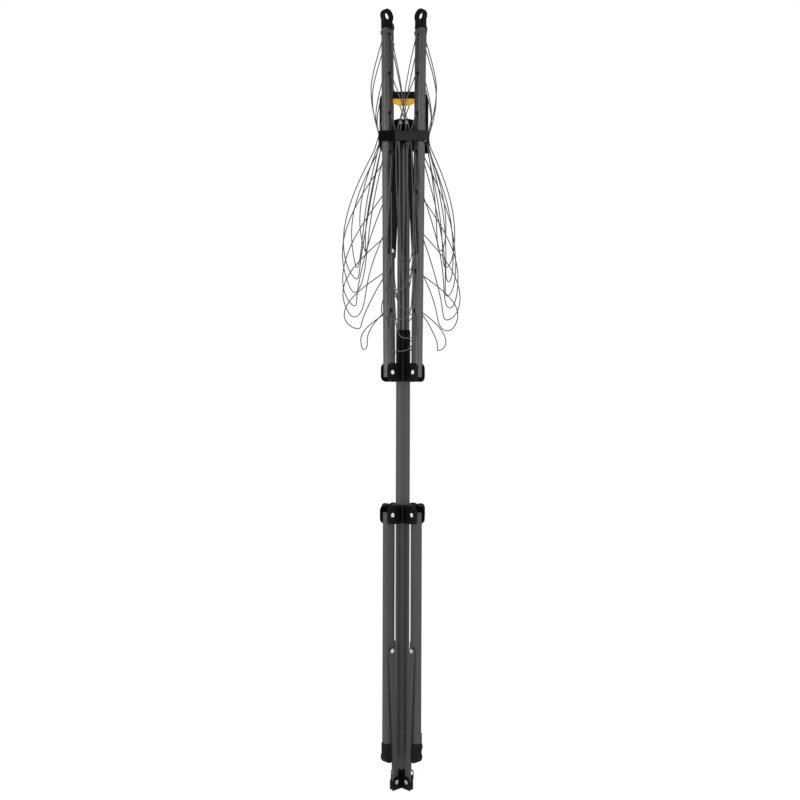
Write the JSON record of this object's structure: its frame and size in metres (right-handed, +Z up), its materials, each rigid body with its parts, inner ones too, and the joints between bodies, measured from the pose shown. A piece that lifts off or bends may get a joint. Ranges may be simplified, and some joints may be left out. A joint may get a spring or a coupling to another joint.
{
  "type": "folding rotary clothes airer",
  "caption": "Portable folding rotary clothes airer with hinged arms and legs on a pole, sliding hubs, drying line, tie strap and carrying handle.",
  "frame": {"origin": "on the pole axis, in the middle of the bare stretch of pole between the two sliding hubs", "axes": "+Z up the pole towards the carrying handle, -Y towards the front (the side where the strap closes), +X to the viewer's right"},
  "size_m": [0.263, 0.159, 1.7444],
  "materials": {
    "tube_upper": "satin",
    "tube_lower": "satin",
    "plastic_black": "satin",
    "bar_black": "satin",
    "knob_plastic": "satin",
    "grip_yellow": "satin",
    "rivet_metal": "satin",
    "foot_rubber": "matte",
    "strap_fabric": "matte",
    "line_grey": "satin"
  },
  "bodies": {
    "frame": {"pole_lower": "tube_lower", "pole_upper": "tube_upper", "pole_bush": "plastic_black", "pole_plug": "plastic_black", "foot_hub": "plastic_black", "crown": "plastic_black", "top_handle": "plastic_black", "handle_grip": "grip_yellow"},
    "arm_hub": {"arm_hub": "plastic_black", "arm_hub_rivets": "rivet_metal"},
    "arm_lock": {"arm_lock_knob": "knob_plastic"},
    "leg_hub": {"leg_hub": "plastic_black", "leg_hub_rivets": "rivet_metal"},
    "leg_lock": {"leg_lock_knob": "knob_plastic"},
    "arm_1": {"arm_tube_1": "tube_upper", "arm_cap_1": "plastic_black", "arm_eyelets_1": "plastic_black", "line_front": "line_grey"},
    "stay_1": {"stay_1": "bar_black", "stay_rivets_1": "rivet_metal"},
    "leg_1": {"leg_tube_1": "tube_lower", "leg_foot_1": "foot_rubber"},
    "strut_1": {"strut_1": "tube_lower", "strut_rivets_1": "rivet_metal"},
    "arm_2": {"arm_tube_2": "tube_upper", "arm_cap_2": "plastic_black", "arm_eyelets_2": "plastic_black", "line_right": "line_grey"},
    "stay_2": {"stay_2": "bar_black", "stay_rivets_2": "rivet_metal"},
    "leg_2": {"leg_tube_2": "tube_lower", "leg_foot_2": "foot_rubber"},
    "strut_2": {"strut_2": "tube_lower", "strut_rivets_2": "rivet_metal"},
    "arm_3": {"arm_tube_3": "tube_upper", "arm_cap_3": "plastic_black", "arm_eyelets_3": "plastic_black", "line_back": "line_grey"},
    "stay_3": {"stay_3": "bar_black", "stay_rivets_3": "rivet_metal"},
    "leg_3": {"leg_tube_3": "tube_lower", "leg_foot_3": "foot_rubber"},
    "strut_3": {"strut_3": "tube_lower", "strut_rivets_3": "rivet_metal"},
    "arm_4": {"arm_tube_4": "tube_upper", "arm_cap_4": "plastic_black", "arm_eyelets_4": "plastic_black", "line_left": "line_grey", "tie_strap": "strap_fabric"},
    "stay_4": {"stay_4": "bar_black", "stay_rivets_4": "rivet_metal"},
    "leg_4": {"leg_tube_4": "tube_lower", "leg_foot_4": "foot_rubber"},
    "strut_4": {"strut_4": "tube_lower", "strut_rivets_4": "rivet_metal"}
  },
  "joints": [
    {"name": "arms_open", "type": "hinge", "parent": "frame", "child": "stay_1", "pos_m": [0.01838, -0.01838, 0.719], "axis": [-0.7071, -0.7071, 0], "range_deg": [0, 56.4]},
    {"name": "arm_1_fold", "type": "hinge", "parent": "stay_1", "child": "arm_1", "pos_m": [0.03345, -0.03345, 0.42898], "axis": [-0.7071, -0.7071, 0], "range_deg": [-116.55, 0], "deforming": ["line_front"]},
    {"name": "stay_2_swing", "type": "hinge", "parent": "frame", "child": "stay_2", "pos_m": [0.01838, 0.01838, 0.719], "axis": [0.7071, -0.7071, 0], "range_deg": [0, 56.4]},
    {"name": "arm_2_fold", "type": "hinge", "parent": "stay_2", "child": "arm_2", "pos_m": [0.03345, 0.03345, 0.42898], "axis": [0.7071, -0.7071, 0], "range_deg": [-116.55, 0], "deforming": ["line_right"]},
    {"name": "stay_3_swing", "type": "hinge", "parent": "frame", "child": "stay_3", "pos_m": [-0.01838, 0.01838, 0.719], "axis": [0.7071, 0.7071, 0], "range_deg": [0, 56.4]},
    {"name": "arm_3_fold", "type": "hinge", "parent": "stay_3", "child": "arm_3", "pos_m": [-0.03345, 0.03345, 0.42898], "axis": [0.7071, 0.7071, 0], "range_deg": [-116.55, 0], "deforming": ["line_back"]},
    {"name": "stay_4_swing", "type": "hinge", "parent": "frame", "child": "stay_4", "pos_m": [-0.01838, -0.01838, 0.719], "axis": [-0.7071, 0.7071, 0], "range_deg": [0, 56.4]},
    {"name": "arm_4_fold", "type": "hinge", "parent": "stay_4", "child": "arm_4", "pos_m": [-0.03345, -0.03345, 0.42898], "axis": [-0.7071, 0.7071, 0], "range_deg": [-116.55, 0], "deforming": ["line_left", "tie_strap"]},
    {"name": "arm_hub_rise", "type": "hinge", "parent": "arm_1", "child": "arm_hub", "pos_m": [0.03111, -0.03111, 0.159], "axis": [-0.7071, -0.7071, 0], "range_deg": [0, 60.15]},
    {"name": "legs_open", "type": "hinge", "parent": "frame", "child": "strut_1", "pos_m": [0.02227, -0.02227, -0.758], "axis": [0.7071, 0.7071, 0], "range_deg": [0, 69.1]},
    {"name": "leg_1_fold", "type": "hinge", "parent": "strut_1", "child": "leg_1", "pos_m": [0.03111, -0.03111, -0.463], "axis": [0.7071, 0.7071, 0], "range_deg": [-135.29, 0]},
    {"name": "strut_2_swing", "type": "hinge", "parent": "frame", "child": "strut_2", "pos_m": [0.02227, 0.02227, -0.758], "axis": [-0.7071, 0.7071, 0], "range_deg": [0, 69.1]},
    {"name": "leg_2_fold", "type": "hinge", "parent": "strut_2", "child": "leg_2", "pos_m": [0.03111, 0.03111, -0.463], "axis": [-0.7071, 0.7071, 0], "range_deg": [-135.29, 0]},
    {"name": "strut_3_swing", "type": "hinge", "parent": "frame", "child": "strut_3", "pos_m": [-0.02227, 0.02227, -0.758], "axis": [-0.7071, -0.7071, 0], "range_deg": [0, 69.1]},
    {"name": "leg_3_fold", "type": "hinge", "parent": "strut_3", "child": "leg_3", "pos_m": [-0.03111, 0.03111, -0.463], "axis": [-0.7071, -0.7071, 0], "range_deg": [-135.29, 0]},
    {"name": "strut_4_swing", "type": "hinge", "parent": "frame", "child": "strut_4", "pos_m": [-0.02227, -0.02227, -0.758], "axis": [0.7071, -0.7071, 0], "range_deg": [0, 69.1]},
    {"name": "leg_4_fold", "type": "hinge", "parent": "strut_4", "child": "leg_4", "pos_m": [-0.03111, -0.03111, -0.463], "axis": [0.7071, -0.7071, 0], "range_deg": [-135.29, 0]},
    {"name": "leg_hub_lower", "type": "hinge", "parent": "leg_1", "child": "leg_hub", "pos_m": [0.02369, -0.02369, -0.161], "axis": [0.7071, 0.7071, 0], "range_deg": [0, 66.19]},
    {"name": "arm_lock_pull", "type": "slide", "parent": "arm_hub", "child": "arm_lock", "axis": [0, 1, 0], "range_m": [0, 0.006], "stiffness_N_per_m": 400},
    {"name": "leg_lock_pull", "type": "slide", "parent": "leg_hub", "child": "leg_lock", "axis": [0, 1, 0], "range_m": [0, 0.006], "stiffness_N_per_m": 400}
  ],
  "couplings": [
    {"joint": "arm_1_fold", "follows": "arms_open", "ratio": -2.063},
    {"joint": "stay_2_swing", "follows": "arms_open", "ratio": 1},
    {"joint": "arm_2_fold", "follows": "arms_open", "ratio": -2.063},
    {"joint": "stay_3_swing", "follows": "arms_open", "ratio": 1},
    {"joint": "arm_3_fold", "follows": "arms_open", "ratio": -2.063},
    {"joint": "stay_4_swing", "follows": "arms_open", "ratio": 1},
    {"joint": "arm_4_fold", "follows": "arms_open", "ratio": -2.063},
    {"joint": "arm_hub_rise", "follows": "arms_open", "ratio": 1.063},
    {"joint": "leg_1_fold", "follows": "legs_open", "ratio": -1.955},
    {"joint": "strut_2_swing", "follows": "legs_open", "ratio": 1},
    {"joint": "leg_2_fold", "follows": "legs_open", "ratio": -1.955},
    {"joint": "strut_3_swing", "follows": "legs_open", "ratio": 1},
    {"joint": "leg_3_fold", "follows": "legs_open", "ratio": -1.955},
    {"joint": "strut_4_swing", "follows": "legs_open", "ratio": 1},
    {"joint": "leg_4_fold", "follows": "legs_open", "ratio": -1.955},
    {"joint": "leg_hub_lower", "follows": "legs_open", "ratio": 0.955}
  ]
}
